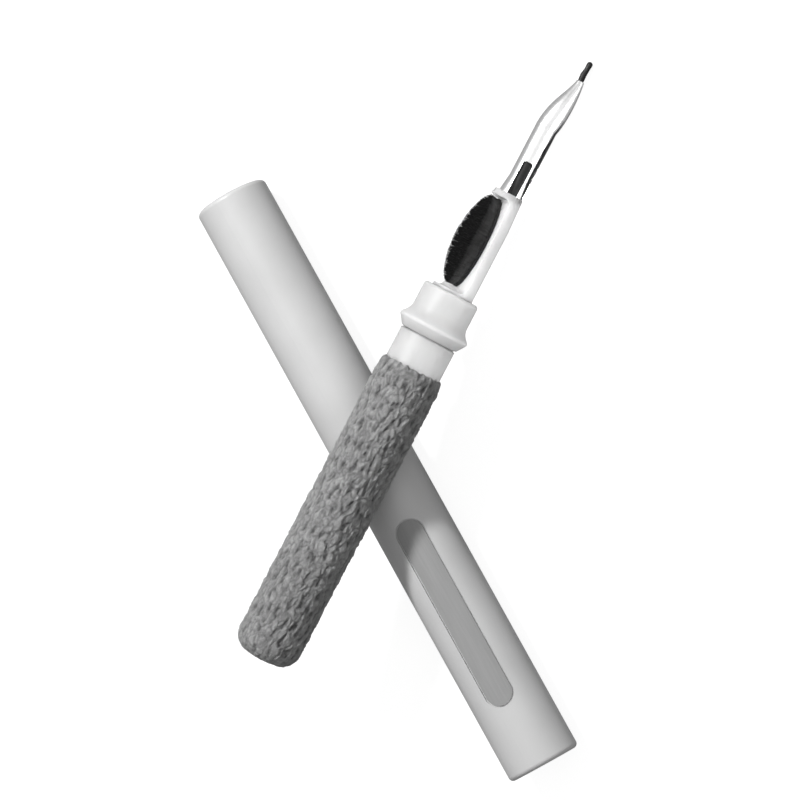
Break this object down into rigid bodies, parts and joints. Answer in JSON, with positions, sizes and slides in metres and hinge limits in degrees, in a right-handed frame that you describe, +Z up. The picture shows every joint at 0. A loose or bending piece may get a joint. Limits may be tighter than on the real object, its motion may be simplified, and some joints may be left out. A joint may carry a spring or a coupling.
{
  "type": "lens cleaning pen",
  "caption": "Cleaning pen with a fleece sleeve, side brush and steel nib, lying across its closed two-part carrying case.",
  "frame": {"origin": "on the floor, under the middle of the object's box as it lies", "axes": "+X along the case from barrel to cap, +Y towards the fleece end of the pen, +Z up"},
  "size_m": [0.133, 0.115, 0.0393],
  "materials": {
    "case_plastic": "satin moulded plastic, light grey-white",
    "liner_plastic": "moulded plastic",
    "label": "matt grey printed inlay, blank",
    "plush": "curly grey fleece",
    "foam": "open-cell foam",
    "handle_plastic": "semi-gloss white moulded plastic",
    "brush_base": "black moulded plastic",
    "bristle": "black nylon bristles",
    "steel": "bright polished steel",
    "tip_plastic": "black plastic"
  },
  "bodies": {
    "barrel": {"case_barrel": "case_plastic", "barrel_liner": "liner_plastic", "label_panel": "label"},
    "cap": {"case_cap": "case_plastic", "cap_liner": "liner_plastic"},
    "pen": {"plush_sleeve": "plush", "foam_end_pad": "foam", "foam_tube": "foam", "handle_core": "handle_plastic", "core_end_plug": "handle_plastic", "collar": "handle_plastic", "tool_stem": "handle_plastic", "brush_base": "brush_base", "brush_bristles": "bristle", "nib_shell": "steel", "nib_core": "tip_plastic"}
  },
  "joints": [
    {"name": "cap_pull", "type": "slide", "parent": "barrel", "child": "cap", "axis": [1, 0, 0], "range_m": [0, 0.15]},
    {"name": "pen_lift", "type": "slide", "parent": "barrel", "child": "pen", "axis": [0, 0, 1], "range_m": [0, 0.04]}
  ]
}
